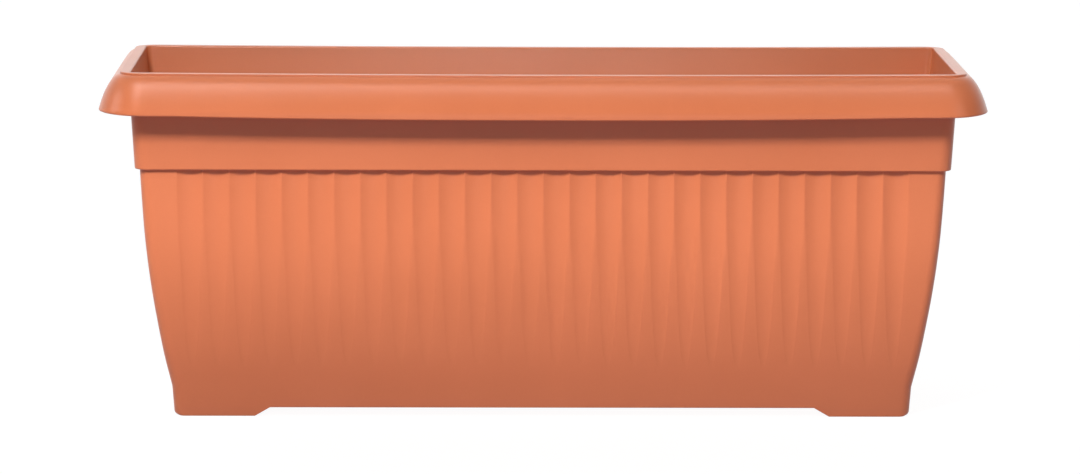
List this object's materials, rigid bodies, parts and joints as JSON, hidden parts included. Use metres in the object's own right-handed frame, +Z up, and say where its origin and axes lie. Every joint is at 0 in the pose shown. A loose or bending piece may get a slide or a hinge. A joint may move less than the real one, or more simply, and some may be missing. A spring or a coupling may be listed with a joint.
{
  "type": "window box planter",
  "caption": "Long terracotta-coloured plastic window box planter with a rolled rim, plain collar, fluted bowed walls, corner feet, a lift-out drainage grid and drain plugs.",
  "frame": {"origin": "centre of the footprint, on the ground the feet stand on", "axes": "+X along the long side, +Y from the front to the back (the front is at -Y), +Z up"},
  "size_m": [0.6, 0.22, 0.2375],
  "materials": {
    "terracotta_plastic": "satin moulded polypropylene",
    "grid_plastic": "satin moulded polypropylene",
    "plug_rubber": "soft moulded rubber"
  },
  "bodies": {
    "planter": {"trough_shell": "terracotta_plastic"},
    "grid": {"drainage_grid": "grid_plastic"},
    "plug_1": {"drain_plug_1": "plug_rubber"},
    "plug_2": {"drain_plug_2": "plug_rubber"},
    "plug_3": {"drain_plug_3": "plug_rubber"},
    "plug_4": {"drain_plug_4": "plug_rubber"}
  },
  "joints": [
    {"name": "grid_lift", "type": "slide", "parent": "planter", "child": "grid", "axis": [0, 0, 1], "range_m": [0, 0.232]},
    {"name": "plug_1_pull", "type": "slide", "parent": "planter", "child": "plug_1", "axis": [0, 0, 1], "range_m": [0, 0.009]},
    {"name": "plug_2_pull", "type": "slide", "parent": "planter", "child": "plug_2", "axis": [0, 0, 1], "range_m": [0, 0.009]},
    {"name": "plug_3_pull", "type": "slide", "parent": "planter", "child": "plug_3", "axis": [0, 0, 1], "range_m": [0, 0.009]},
    {"name": "plug_4_pull", "type": "slide", "parent": "planter", "child": "plug_4", "axis": [0, 0, 1], "range_m": [0, 0.009]}
  ]
}
